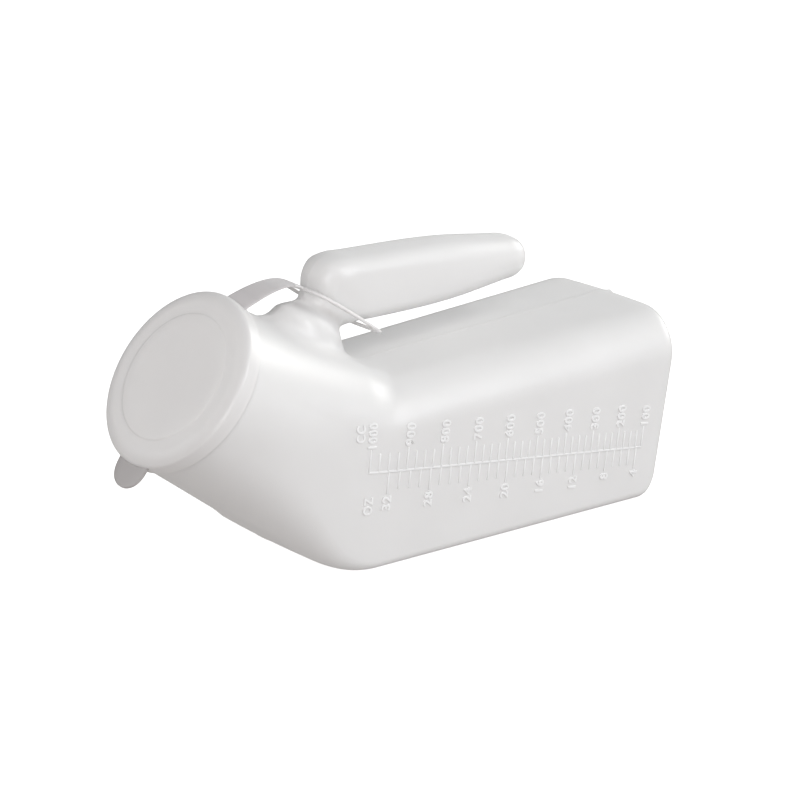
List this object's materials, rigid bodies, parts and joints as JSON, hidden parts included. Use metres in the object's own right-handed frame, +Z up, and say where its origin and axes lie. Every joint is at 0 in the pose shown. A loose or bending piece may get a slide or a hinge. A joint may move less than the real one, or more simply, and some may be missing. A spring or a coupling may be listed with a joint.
{
  "type": "urine bottle",
  "caption": "Translucent plastic urine bottle that lies flat, with a hollow grip handle, a raised volume scale and a snap lid tethered by a flexible strap.",
  "frame": {"origin": "middle of the underside, on the surface that the bottle lies on", "axes": "+X from the mouth towards the base of the bottle, +Y towards the side without the scale, +Z up towards the handle"},
  "size_m": [0.262, 0.088, 0.1198],
  "materials": {
    "bottle_plastic": "milky translucent blow-moulded polyethylene with a soft satin surface",
    "lid_plastic": "milky translucent injection-moulded polyethylene, slightly greyer than the bottle, satin"
  },
  "bodies": {
    "root": {"bottle_shell": "bottle_plastic", "handle_stem": "bottle_plastic", "handle_grip": "bottle_plastic", "mouth_rim": "bottle_plastic", "volume_scale": "bottle_plastic", "strap_loop": "lid_plastic"},
    "strap_by_loop": {"strap_link_3": "lid_plastic"},
    "strap_middle": {"strap_link_2": "lid_plastic"},
    "strap_by_lid": {"strap_link_1": "lid_plastic"},
    "lid": {"lid_cap": "lid_plastic", "lid_pull_tab": "lid_plastic"}
  },
  "joints": [
    {"name": "strap_bend_loop", "type": "hinge", "parent": "root", "child": "strap_by_loop", "pos_m": [-0.04806, 0, 0.11107], "axis": [0, 1, 0], "range_deg": [0, 18]},
    {"name": "strap_bend_middle", "type": "hinge", "parent": "strap_by_loop", "child": "strap_middle", "pos_m": [-0.06027, 0, 0.11449], "axis": [0, 1, 0], "range_deg": [0, 18]},
    {"name": "strap_bend_lid", "type": "hinge", "parent": "strap_middle", "child": "strap_by_lid", "pos_m": [-0.07098, 0, 0.11394], "axis": [0, 1, 0], "range_deg": [0, 18]},
    {"name": "lid_hinge", "type": "hinge", "parent": "strap_by_lid", "child": "lid", "pos_m": [-0.08088, 0, 0.11131], "axis": [0, 1, 0], "range_deg": [0, 90]}
  ],
  "couplings": [
    {"joint": "strap_bend_middle", "follows": "strap_bend_loop", "ratio": 1},
    {"joint": "strap_bend_lid", "follows": "strap_bend_loop", "ratio": 1},
    {"joint": "lid_hinge", "follows": "strap_bend_loop", "ratio": 5}
  ]
}
